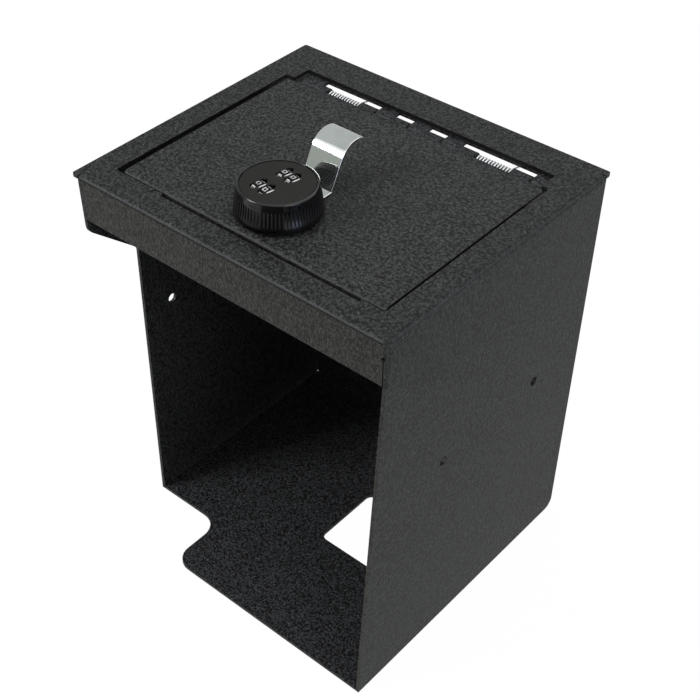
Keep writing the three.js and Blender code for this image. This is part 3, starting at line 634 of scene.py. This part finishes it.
class ShapeSheet(NodeSheet):
    """Geometry node tree with named inputs, one of them the material."""

    def __init__(self, name: str, inputs: dict[str, str]) -> None:
        """Makes a tree with a geometry input and output.

        Args:
            name: the tree's name.
            inputs: socket type of each named input.
        """
        super().__init__(bpy.data.node_groups.new(name, "GeometryNodeTree"))
        make = self.tree.interface.new_socket
        make("Geometry", in_out="INPUT", socket_type="NodeSocketGeometry")
        kinds = {**inputs, "Material": "NodeSocketMaterial"}
        self.identifiers = {
            title: make(title, in_out="INPUT", socket_type=kind).identifier for title, kind in kinds.items()
        }
        make("Geometry", in_out="OUTPUT", socket_type="NodeSocketGeometry")

    def given(self, title: str) -> Wire:
        """Value of a named input."""
        return self.add("NodeGroupInput", {}, {}, title)

    def finish(self, shape: Wire) -> None:
        """Ends the tree with real geometry and its material.

        Args:
            shape: the geometry that leaves the tree.
        """
        real = self.add("GeometryNodeRealizeInstances", {}, {0: shape})
        dress = {"Geometry": real, "Material": self.given("Material")}
        self.add("NodeGroupOutput", {}, {0: self.add("GeometryNodeSetMaterial", {}, dress)})

    def apply(self, piece: Piece, values: dict[str, object]) -> None:
        """Runs the tree on a piece and keeps the result as a plain mesh.

        Args:
            piece: the piece whose mesh enters the tree.
            values: value of each named input.
        """
        modifier = piece.modifiers.new("made", "NODES")
        modifier.node_group = self.tree
        for title, value in values.items():
            modifier[self.identifiers[title]] = value
        bake(piece)


def ring_tree() -> ShapeSheet:
    """Tree that repeats the incoming shape round the Z axis.

    Returns:
        The tree.
    """
    sheet = ShapeSheet("ring_of_ribs", {
        "Count": "NodeSocketInt", "Centre": "NodeSocketVector", "Turn": "NodeSocketFloat",
    })
    count, turn = sheet.given("Count"), sheet.given("Turn")
    points = sheet.add("GeometryNodePoints", {}, {"Count": count})
    index = sheet.add("GeometryNodeInputIndex", {}, {})
    share = index.worked("DIVIDE", index, count)
    angle = sheet.add("ShaderNodeMath", {"operation": "MULTIPLY_ADD"}, {0: share, 1: TURN, 2: turn})
    ring = sheet.add("GeometryNodeInstanceOnPoints", {}, {
        "Points": points, "Instance": sheet.given("Geometry"),
        "Rotation": sheet.add("ShaderNodeCombineXYZ", {}, {"Z": angle}),
    })
    sheet.finish(sheet.add("GeometryNodeTransform", {}, {
        "Geometry": ring, "Translation": sheet.given("Centre"),
    }))
    return sheet


def wire_tree() -> ShapeSheet:
    """Tree that turns an edge path into round wire with closed ends.

    Returns:
        The tree.
    """
    sheet = ShapeSheet("round_wire", {"Wire radius": "NodeSocketFloat", "Sides": "NodeSocketInt"})
    path = sheet.add("GeometryNodeMeshToCurve", {}, {0: sheet.given("Geometry")})
    section = sheet.add("GeometryNodeCurvePrimitiveCircle", {}, {
        "Resolution": sheet.given("Sides"), "Radius": sheet.given("Wire radius"),
    })
    tube = sheet.add("GeometryNodeCurveToMesh", {}, {
        "Curve": path, "Profile Curve": section, "Fill Caps": True,
    })
    sheet.finish(sheet.add("GeometryNodeSetShadeSmooth", {}, {"Geometry": tube, "Shade Smooth": True}))
    return sheet


# Sub-assemblies

@dataclass
class SheetCase:
    """Folded case: top frame with skirt and right wall, left wall, floor, rear panel and inner strips."""

    coats: Coats
    sheet: float = 2.3 * MM
    rim: float = 10 * MM
    notch_place: tuple[float, float] = (-66.2 * MM, -74.6 * MM)
    notch_size: tuple[float, float] = (4.6 * MM, 1.1 * MM)
    notch_turn: float = math.radians(52)

    def build(self) -> list[Piece]:
        """Dresses the sheets of the case.

        Returns:
            The pieces.
        """
        inside, gap_shade = self.coats.inside, self.coats.gap_shade
        # The lid rests and the striker take the gap coat, painted shade in the gap under the lid.
        plans = (
            ("left_wall", inside, Edge.COATED), ("floor_panel", inside, Edge.CRISP),
            ("rear_panel", inside, Edge.CRISP), ("lid_rest_left", gap_shade, Edge.CRISP),
            ("lid_rest_right", gap_shade, Edge.CRISP), ("latch_striker", gap_shade, Edge.CRISP),
        )
        copies = (SoftCopy(node, "shell", Slot.CASE, coat, edge).build() for node, coat, edge in plans)
        return [self._frame(), *copies]

    def _frame(self) -> Piece:
        """Top frame with the relief notch at the grip recess and painted shade on the cut edges round the
        opening.

        Returns:
            The piece.
        """
        piece = SoftCopy("top_shell", "shell", Slot.CASE, self.coats.top, cutter=self._notch()).build()
        piece.data.materials.append(self.coats.gap_shade)
        low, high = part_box("top_shell")
        # Painted shade: upright faces of the opening's cut edges get the gap coat.
        for face in piece.data.polygons:
            x, y, z = face.center
            inside = (low.x + self.rim < x < high.x - self.rim
                      and low.y + self.rim < y < high.y - self.rim)
            if inside and abs(face.normal.z) < 0.5 and z > high.z - self.sheet:
                face.material_index = 1
        return piece

    def _notch(self) -> Piece:
        """Cutter of the oblique relief notch.

        Returns:
            The cutter.
        """
        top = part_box("top_shell")[1].z
        place = Matrix.Translation((*self.notch_place, top)) @ Matrix.Rotation(self.notch_turn, 4, "Z")
        draft = bmesh.new()
        add_box(draft, place, (*self.notch_size, 4 * self.sheet))
        return new_piece("notch_cutter", draft)


@dataclass
class SprungHinge:
    """Rod hinge: two rolled leaves, the rod and two torsion springs wound round it."""

    coats: Coats
    rod_radius: float = 1.5 * MM
    wire_radius: float = 0.55 * MM
    play: float = 0.15 * MM
    turns: int = 11
    pitch: float = 2.03 * MM
    steps_per_turn: int = 24
    wire_sides: int = 10
    lid_leg: float = 14 * MM
    rear_leg: float = 18 * MM
    lid_relief: float = 4.5 * MM
    rear_relief: float = 6.4 * MM
    leaf_gap: float = 0.85 * MM
    leaf_sheet: float = 1.8 * MM

    def build(self) -> list[Piece]:
        """Dresses the leaves and the rod, and winds the springs.

        Returns:
            The pieces.
        """
        tree = wire_tree()
        return [
            SoftCopy("hinge_leaf", "shell", Slot.CASE, self.coats.inside, Edge.CRISP).build(),
            SoftCopy("lid_hinge_leaf", "lid", Slot.LID, self.coats.inside, Edge.CRISP).build(),
            SoftCopy("hinge_rod", "shell", Slot.ZINC, self.coats.rod, Edge.CRISP).build(),
            self._spring("torsion_spring_left", tree),
            self._spring("torsion_spring_right", tree),
        ]

    def _path(self, left: float) -> list[Vector]:
        """Middle line of a spring: lid leg, coil, rear leg; the legs just pass the leaves' reliefs.

        Args:
            left: place of the coil's left end.

        Returns:
            The points of the line.
        """
        low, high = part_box("hinge_rod")
        axis_y, axis_z = (low.y + high.y) / 2, (low.z + high.z) / 2
        radius = self.rod_radius + self.play + self.wire_radius
        leg_height = (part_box("hinge_leaf")[1].z - self.leaf_sheet - self.leaf_gap) - axis_z
        slopes = []
        for depth in (-self.lid_relief, self.rear_relief):
            opening = math.asin(radius / math.hypot(depth, leg_height))
            bearing = math.atan2(leg_height, depth)
            slopes.append(bearing - opening if depth > 0 else bearing - math.pi + opening)
        front, rear = slopes
        sweep = self.turns * TURN + front - rear
        steps = round(sweep / TURN * self.steps_per_turn)
        points = []
        for i in range(steps + 1):
            angle = QUARTER + front - sweep * i / steps
            points.append(Vector((left + self.turns * self.pitch * i / steps,
                                  axis_y + radius * math.cos(angle), axis_z + radius * math.sin(angle))))
        ahead, behind = (Vector((0, math.cos(slope), math.sin(slope))) for slope in slopes)
        return [points[0] - ahead * self.lid_leg, *points, points[-1] + behind * self.rear_leg]

    def _spring(self, node: str, tree: ShapeSheet) -> Piece:
        """Winds one spring where its CAD node is.

        Args:
            node: the CAD node's name.
            tree: the wire tree.

        Returns:
            The piece.
        """
        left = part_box(node)[0].x + self.wire_radius
        draft = bmesh.new()
        verts = [draft.verts.new(point) for point in self._path(left)]
        for ends in zip(verts, verts[1:]):
            draft.edges.new(ends)
        piece = new_piece(f"{node}_wire", draft)
        tree.apply(piece, {
            "Wire radius": self.wire_radius, "Sides": self.wire_sides, "Material": self.coats.spring,
        })
        return settled(piece, "lid", Slot.SPRING, node)


@dataclass
class LidSheet:
    """Lid: one coated sheet with a front flange."""

    coats: Coats

    def build(self) -> list[Piece]:
        """Dresses the lid."""
        return [SoftCopy("lid_panel", "lid", Slot.LID, self.coats.lid).build()]


@dataclass
class FingerPull:
    """Chrome pull: foot under the lock, slanted blade and curled tip."""

    coats: Coats

    def build(self) -> list[Piece]:
        """Dresses the pull."""
        return [SoftCopy("pull_tab", "lid", Slot.CHROME, self.coats.chrome, Edge.SLIM,
                         smooth_angle=25, flat_faces=True).build()]


@dataclass
class CombinationLock:
    """Knob with a ribbed band, a matt face with four windows, number wheels and the parts below the lid."""

    coats: Coats
    placed: Matrix = field(init=False)
    turn_at_rest: float = math.radians(-11)
    base_radius: float = 25 * MM
    shoulder_radius: float = 23.1 * MM
    shoulder_drop: float = 3.4 * MM
    top_radius: float = 21.6 * MM
    face_radius: float = 20.7 * MM
    height: float = 18.8 * MM
    foot_edge: float = 0.4 * MM
    soft_edge: float = 0.12 * MM
    sides: int = 240
    smooth_angle: float = 28
    rib_foot: float = 3.6 * MM
    rib_head_drop: float = 4.6 * MM
    rib_count: int = 72
    rib_depth: float = 0.65 * MM
    rib_width: float = 0.95 * MM
    rib_root: float = 0.2 * MM
    rib_end: float = 0.05 * MM
    rib_skin: float = 0.02 * MM
    rib_steps: int = 8
    rib_power: float = 0.6
    rim_bulge: float = 1.05 * MM
    rim_drop: float = 1.2 * MM
    rim_steps: int = 8
    recess_depth: float = 1.05 * MM
    recess_radius: float = 19.6 * MM
    face_drop: float = 0.3 * MM
    face_plate: float = 1.0 * MM
    face_edge: float = 0.1 * MM
    face_sides: int = 120
    play: float = 0.3 * MM
    wheel_radius: float = 7 * MM
    wheel_flat: float = 6.792 * MM
    wheel_width: float = 3.8 * MM
    wheel_show: float = 0.4 * MM
    wheel_shift: float = -2 * MM
    pitch_x: float = 7 * MM
    pitch_y: float = 17.2 * MM
    pocket: float = 0.4 * MM
    pocket_reach: float = 0.75
    window_width: float = 4.4 * MM
    window_length: float = 11.6 * MM
    digit_size: float = 2.7 * MM
    digit_stroke: float = 0.52 * MM
    digit_depth: float = 0.05 * MM
    digit_turns: tuple[float, ...] = tuple(math.radians(angle) for angle in (0, -8, 1, 3))
    mark_length: float = 5.2 * MM
    mark_width: float = 0.95 * MM
    mark_place: float = 3.2 * MM
    pinhole_radius: float = 0.7 * MM
    pinhole_drop: float = 3 * MM
    pinhole_depth: float = 4 * MM
    pinhole_turn: float = math.radians(-8)

    def build(self) -> list[Piece]:
        """Builds the knob and dresses the rest of the lock.

        Returns:
            The pieces.
        """
        low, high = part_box("lock_housing")
        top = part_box("knob_body")[1].z - self.height
        centre = Matrix.Translation(((low.x + high.x) / 2, (low.y + high.y) / 2, top))
        self.placed = centre @ Matrix.Rotation(self.turn_at_rest, 4, "Z")
        pieces = [self._knob(), self._ribs(), self._face(), self._marks()]
        for number, turn in enumerate(self.digit_turns, 1):
            row, column = divmod(number - 1, 2)
            x, y = self._spots()[2 * column + row]
            hub = self.placed @ Matrix.Translation((x, y, self._wheel_height()))
            set_off = hub @ Matrix.Rotation(-turn, 4, "X") @ hub.inverted()
            pieces.append(SoftCopy(f"number_wheel_{number}", f"wheel_{number}", Slot.WHEEL,
                                   self.coats.wheel, Edge.CRISP, smooth_angle=20, turned=set_off).build())
            pieces.append(self._digits(number, set_off @ hub))
        metal = {
            "knob": ("wheel_axle_front", "wheel_axle_rear", "lock_spindle", "cam_latch", "cam_washer",
                     "cam_screw"),
            "lid": ("lock_housing", "lock_washer", "lock_nut"),
        }
        copies = (SoftCopy(node, body, Slot.ZINC, self.coats.zinc, Edge.CRISP).build()
                  for body, nodes in metal.items() for node in nodes)
        return [*pieces, *copies]

    def _foot(self) -> float:
        """Height of the knob's underside over the lid."""
        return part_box("knob_body")[0].z - self.placed.translation.z

    def _cone(self, height: float) -> float:
        """Radius of the knob's tapered side at a height over the lid."""
        share = (height - self._foot()) / (self.height - self.shoulder_drop - self._foot())
        return self.base_radius + (self.shoulder_radius - self.base_radius) * share

    def _wheel_height(self) -> float:
        """Height of the wheels' axles over the lid."""
        return self.height - self.face_drop + self.wheel_show - self.wheel_radius

    def _spots(self) -> list[tuple[float, float]]:
        """Places of the wheels across and along the knob, column by column."""
        columns = (self.wheel_shift - self.pitch_x / 2, self.wheel_shift + self.pitch_x / 2)
        return [(x, y) for x in columns for y in (-self.pitch_y / 2, self.pitch_y / 2)]

    def _knob(self) -> Piece:
        """Turned body of the knob with a pocket for each wheel.

        Returns:
            The piece.
        """
        low, soft, core = self._foot(), self.soft_edge, self.rib_depth
        foot, head = low + self.rib_foot, self.height - self.rib_head_drop
        shoulder = self.height - self.shoulder_drop
        profile = [
            (0, low + self.recess_depth), (self.recess_radius, low + self.recess_depth),
            (self.recess_radius, low), (self.base_radius - self.foot_edge, low),
            (self.base_radius - soft, low + soft),
            (self._cone(low + self.foot_edge), low + self.foot_edge), (self._cone(foot), foot),
            (self._cone(foot + 3 * core) - core, foot + 3 * core),
            (self._cone(head - core) - core, head - core),
            (self._cone(head), head), (self._cone(shoulder), shoulder),
        ]
        for i in range(self.rim_steps + 1):
            angle = math.radians(90 * i / self.rim_steps)
            profile.append((self.top_radius + self.rim_bulge * math.cos(angle),
                            self.height - self.rim_drop * (1 - math.sin(angle))))
        inner = self.face_radius + self.play
        seat = self.height - self.face_drop - self.face_plate - self.play
        profile += [(inner + soft, self.height), (inner, self.height - soft), (inner, seat), (0, seat)]
        piece = turned_piece("knob_shell", profile, self.sides, self.coats.knob)
        piece.data.transform(self.placed)
        cut_away(piece, self._pockets())
        smoothed(piece, self.smooth_angle)
        return settled(piece, "knob", Slot.KNOB, "knob_body")

    def _pockets(self) -> Piece:
        """Boxes that make room for the wheels, and the pinhole in the side.

        Returns:
            The cutter.
        """
        draft = bmesh.new()
        room = self.wheel_radius + self.pocket
        top, bottom = self.height + 2 * MM, self._wheel_height() - room * self.pocket_reach
        for x, y in self._spots():
            add_box(draft, Matrix.Translation((x, y, (top + bottom) / 2)),
                    (self.wheel_width + 2 * self.pocket, 2 * room, top - bottom))
        spin = Matrix.Rotation(self.pinhole_turn, 4, "Z")
        out = Matrix.Translation((self.shoulder_radius, 0, self.height - self.pinhole_drop))
        bmesh.ops.create_cone(draft, cap_ends=True, segments=20, radius1=self.pinhole_radius,
                              radius2=self.pinhole_radius, depth=self.pinhole_depth,
                              matrix=spin @ out @ Matrix.Rotation(QUARTER, 4, "Y"))
        piece = new_piece("pocket_cutter", draft)
        piece.data.transform(self.placed)
        return piece

    def _ribs(self) -> Piece:
        """Ring of ribs that fill the sunk band flush with the cone.

        Returns:
            The piece.
        """
        low = self._foot() + self.rib_foot
        high = self.height - self.rib_head_drop
        draft = bmesh.new()
        half = self.rib_width / 2
        rows = []
        for height, lift in ((low + self.rib_end, 0.0), (low + 3 * self.rib_depth, 1.0),
                             (high - self.rib_depth, 1.0), (high - self.rib_end, 0.0)):
            outer = self._cone(height) - self.rib_skin
            root = outer - self.rib_depth - self.rib_root
            points = []
            for k in range(self.rib_steps + 1):
                angle = math.pi * k / self.rib_steps
                across = -math.copysign(abs(math.cos(angle)) ** self.rib_power, math.cos(angle)) * half
                bulge = abs(math.sin(angle)) ** self.rib_power
                points.append((outer - (1 - bulge) * (self.rib_depth + self.rib_root / 2) * lift, across))
            points += [(root, half), (root, -half)]
            rows.append([draft.verts.new((*point, height)) for point in points])
        for lower, upper in zip(rows, rows[1:]):
            for k in range(len(lower)):
                after = (k + 1) % len(lower)
                draft.faces.new((lower[k], lower[after], upper[after], upper[k]))
        draft.faces.new(list(reversed(rows[0])))
        draft.faces.new(rows[-1])
        bmesh.ops.recalc_face_normals(draft, faces=draft.faces)
        piece = new_piece("knob_ribs", draft)
        ring_tree().apply(piece, {
            "Count": self.rib_count, "Centre": tuple(self.placed.translation), "Turn": self.turn_at_rest,
            "Material": self.coats.ribs,
        })
        smoothed(piece, 40)
        return settled(piece, "knob", Slot.KNOB)

    def _face(self) -> Piece:
        """Matt face with a rounded window over each wheel.

        Returns:
            The piece.
        """
        high = self.height - self.face_drop
        low, soft = high - self.face_plate, self.face_edge
        profile = [(0, low), (self.face_radius, low), (self.face_radius, high - soft),
                   (self.face_radius - soft, high), (0, high)]
        piece = turned_piece("face_plate", profile, self.face_sides, self.coats.face)
        draft = bmesh.new()
        for x, y in self._spots():
            add_box(draft, Matrix.Translation((x, y, high)),
                    (self.window_width, self.window_length, 4 * self.face_plate))
        upright = [edge for edge in draft.edges
                   if abs((edge.verts[0].co - edge.verts[1].co).z) > self.face_plate]
        bmesh.ops.bevel(draft, geom=upright, offset=self.window_width / 4, segments=4, affect="EDGES")
        cut_away(piece, new_piece("window_cutter", draft))
        piece.data.transform(self.placed)
        smoothed(piece, self.smooth_angle)
        return settled(piece, "knob", Slot.FACE, "knob_face")

    def _marks(self) -> Piece:
        """White index line beside each window.

        Returns:
            The piece.
        """
        draft = bmesh.new()
        level = self.height - self.face_drop + self.digit_depth / 2
        size = Matrix.Diagonal((self.mark_width / 2, self.mark_length / 2, self.digit_depth, 1))
        for x, y in self._spots():
            place = Matrix.Translation((x + self.mark_place, y, level))
            bmesh.ops.create_cone(draft, cap_ends=True, segments=24, radius1=1, radius2=1, depth=1,
                                  matrix=place @ size)
        piece = new_piece("index_marks", draft, self.coats.print_white)
        piece.data.transform(self.placed)
        return settled(piece, "knob", Slot.FACE)

    def _digits(self, number: int, hub: Matrix) -> Piece:
        """Ring of printed digits on one wheel, made of straight strokes.

        Args:
            number: the wheel's number, 1 to 4.
            hub: the wheel's middle, with X along its axle.

        Returns:
            The piece.
        """
        thick, deep = self.digit_stroke, 2 * self.digit_depth
        reach = (self.digit_size - thick) / 2
        wide, tall = (2 * reach + thick, thick, deep), (thick, reach + thick, deep)
        strokes = {
            "A": ((0, reach, 0), wide), "G": ((0, 0, 0), wide), "D": ((0, -reach, 0), wide),
            "F": ((-reach, reach / 2, 0), tall), "B": ((reach, reach / 2, 0), tall),
            "E": ((-reach, -reach / 2, 0), tall), "C": ((reach, -reach / 2, 0), tall),
        }
        draft = bmesh.new()
        out = Matrix.Translation((0, 0, self.wheel_flat))
        upright = Matrix.Rotation(QUARTER, 4, "Z")
        for digit, letters in enumerate(DIGIT_STROKES):
            place = hub @ Matrix.Rotation(-TURN * digit / 10, 4, "X") @ out @ upright
            for letter in letters:
                middle, size = strokes[letter]
                add_box(draft, place @ Matrix.Translation(middle), size)
        piece = new_piece(f"wheel_{number}_digits", draft, self.coats.print_white)
        return settled(piece, f"wheel_{number}", Slot.WHEEL)


# Studio

@dataclass(frozen=True)
class Lamp:
    """Square soft lamp: its place, side and power in watts."""

    place: Triple
    size: float
    power: float


@dataclass(frozen=True)
class Card:
    """Glowing square that only mirrors see: its middle, the way it faces and half its side."""

    middle: Triple
    facing: Triple
    half: float
    colour: Colour
    strength: float = 1.0


@dataclass
class Studio:
    """Pale floor and background, soft lamps, reflection cards and the camera."""

    eye: Triple = (0.4050, -0.4747, 0.6733)
    look: Triple = (-0.4890, 0.5462, -0.6801)
    right: Triple = (0.7490, 0.6625, -0.0065)
    lens: float = 67.7
    sensor: float = 36
    clip: tuple[float, float] = (0.02, 50)
    shift: tuple[float, float] = (0.06, 0.08)
    world_light: float = 0.4
    sky: Colour = (0.95, 0.97, 1.0, 1)
    floor_size: float = 12
    floor_drop: float = 0.3 * MM
    floor_grey: Colour = (0.35, 0.35, 0.35, 1)
    floor_glow: float = 1.11
    floor_share: float = 0.88
    lamp_aim: Triple = (0, 0, 0.15)
    lamps: tuple[Lamp, ...] = (
        Lamp((-0.9, -1.25, 1.15), 0.6, 18.5),
        Lamp((1.4, -0.5, 1.1), 0.6, 3.0),
        Lamp((0.1, 0.9, 1.5), 1.6, 5.0),
    )
    cards: tuple[Card, ...] = (
        Card((-0.46, -0.70, 0.12), (0.55, 0.84, 0.0), 0.50, srgb(157, 162, 155)),
        Card((-1.0, 0.50, 0.95), (1.0, 0.0, 0.0), 1.25, srgb(186, 190, 188)),
        Card((0.80, -0.10, 0.30), (-1.0, 0.0, 0.0), 0.16, srgb(205, 220, 255), strength=4.0),
        Card((0.30, -0.62, 0.12), (-0.3, 0.6, 0.0), 0.36, srgb(60, 60, 60)),
        Card((0.15, 1.30, 0.45), (0.0, -1.0, 0.0), 0.50, srgb(70, 70, 70)),
    )

    def build(self) -> None:
        """Sets up floor, light and camera."""
        self._world()
        self._floor()
        for number, lamp in enumerate(self.lamps, 1):
            self._lamp(f"softbox_{number}", lamp)
        for number, card in enumerate(self.cards, 1):
            self._card(f"card_{number}", card)
        self._camera()
        bpy.context.scene.view_settings.view_transform = "Standard"

    def _world(self) -> None:
        """World that lights softly and shows white behind the object."""
        world = bpy.data.worlds.new("studio")
        bpy.context.scene.world = world
        sheet = ShaderSheet(world)
        light = sheet.add("ShaderNodeBackground", {}, {"Color": self.sky, "Strength": self.world_light})
        white = sheet.add("ShaderNodeBackground", {}, {"Color": WHITE, "Strength": 1.0})
        mixed = sheet.add("ShaderNodeMixShader", {}, {0: sheet.seen(), 1: light, 2: white})
        sheet.add("ShaderNodeOutputWorld", {}, {0: mixed})

    def _floor(self) -> None:
        """White floor that still takes a faint shadow."""
        draft = bmesh.new()
        bmesh.ops.create_grid(draft, x_segments=1, y_segments=1, size=self.floor_size,
                              matrix=Matrix.Translation((0, 0, -self.floor_drop)))
        sheet = ShaderSheet(bpy.data.materials.new("pale_floor"))
        matt = sheet.add("ShaderNodeBsdfDiffuse", {}, {"Color": self.floor_grey})
        glow = sheet.add("ShaderNodeEmission", {}, {"Color": WHITE, "Strength": self.floor_glow})
        share = sheet.seen() * self.floor_share
        mixed = sheet.add("ShaderNodeMixShader", {}, {0: share, 1: matt, 2: glow})
        sheet.add("ShaderNodeOutputMaterial", {}, {0: mixed})
        new_piece("floor", draft, sheet.owner)

    def _lamp(self, name: str, lamp: Lamp) -> None:
        """Places one lamp, aimed at the object's middle.

        Args:
            name: the lamp's name.
            lamp: its place, size and power.
        """
        data = bpy.data.lights.new(name, "AREA")
        data.size = lamp.size
        data.energy = lamp.power
        light = bpy.data.objects.new(name, data)
        bpy.context.scene.collection.objects.link(light)
        aim = Vector(self.lamp_aim) - Vector(lamp.place)
        light.rotation_mode = "QUATERNION"
        light.rotation_quaternion = aim.to_track_quat("-Z", "Y")
        light.location = lamp.place

    def _card(self, name: str, plan: Card) -> None:
        """Places one reflection card.

        Args:
            name: the card's name.
            plan: its place, size and glow.
        """
        draft = bmesh.new()
        aim = Vector(plan.facing).to_track_quat("Z", "Y").to_matrix().to_4x4()
        bmesh.ops.create_grid(draft, x_segments=1, y_segments=1, size=plan.half,
                              matrix=Matrix.Translation(plan.middle) @ aim)
        sheet = ShaderSheet(bpy.data.materials.new(name))
        glow = sheet.add("ShaderNodeEmission", {}, {"Color": plan.colour, "Strength": plan.strength})
        sheet.add("ShaderNodeOutputMaterial", {}, {0: glow})
        card = new_piece(name, draft, sheet.owner)
        card.visible_camera = False
        card.visible_diffuse = False
        card.visible_shadow = False

    def _camera(self) -> None:
        """Camera at the photograph's place."""
        data = bpy.data.cameras.new("camera")
        data.lens = self.lens
        data.sensor_width = self.sensor
        data.shift_x, data.shift_y = self.shift
        data.clip_start, data.clip_end = self.clip
        camera = bpy.data.objects.new("camera", data)
        bpy.context.scene.collection.objects.link(camera)
        back = -Vector(self.look).normalized()
        right = (Vector(self.right) - back * Vector(self.right).dot(back)).normalized()
        turn = Matrix((right, back.cross(right), back)).transposed()
        camera.matrix_world = Matrix.Translation(self.eye) @ turn.to_4x4()
        bpy.context.scene.camera = camera


def main() -> None:
    """Builds the studio and the sub-assemblies in order."""
    coats = Coats()
    Studio().build()
    for assembly in (SheetCase(coats), SprungHinge(coats), LidSheet(coats), FingerPull(coats),
                     CombinationLock(coats)):
        pieces = assembly.build()
        log.info("%s: %d pieces", type(assembly).__name__, len(pieces))


if __name__ == "__main__":
    main()
